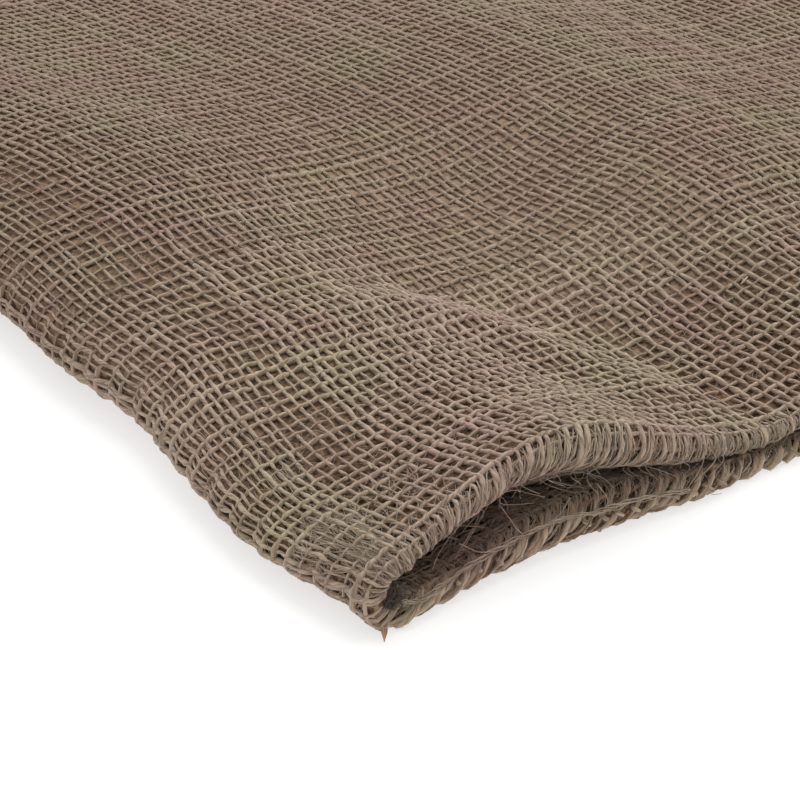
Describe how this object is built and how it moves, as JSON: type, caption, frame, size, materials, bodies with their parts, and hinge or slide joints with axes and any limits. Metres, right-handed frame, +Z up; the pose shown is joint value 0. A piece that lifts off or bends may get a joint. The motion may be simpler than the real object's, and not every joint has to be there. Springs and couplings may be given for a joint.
{
  "type": "jute sack",
  "caption": "Small open-weave jute sack lying flat, its mouth a little agape with the top turned in as a soft roll, the cloth in low folds",
  "frame": {"origin": "middle of the sack's footprint, on the surface it lies on", "axes": "+X to the right along the mouth, +Y from the mouth to the closed end, +Z up"},
  "size_m": [0.3015, 0.4014, 0.0216],
  "materials": {
    "jute": "dry, fuzzy, unbleached plain-weave jute, matt taupe brown"
  },
  "bodies": {
    "root": {"sack_cloth": "jute"}
  },
  "joints": []
}
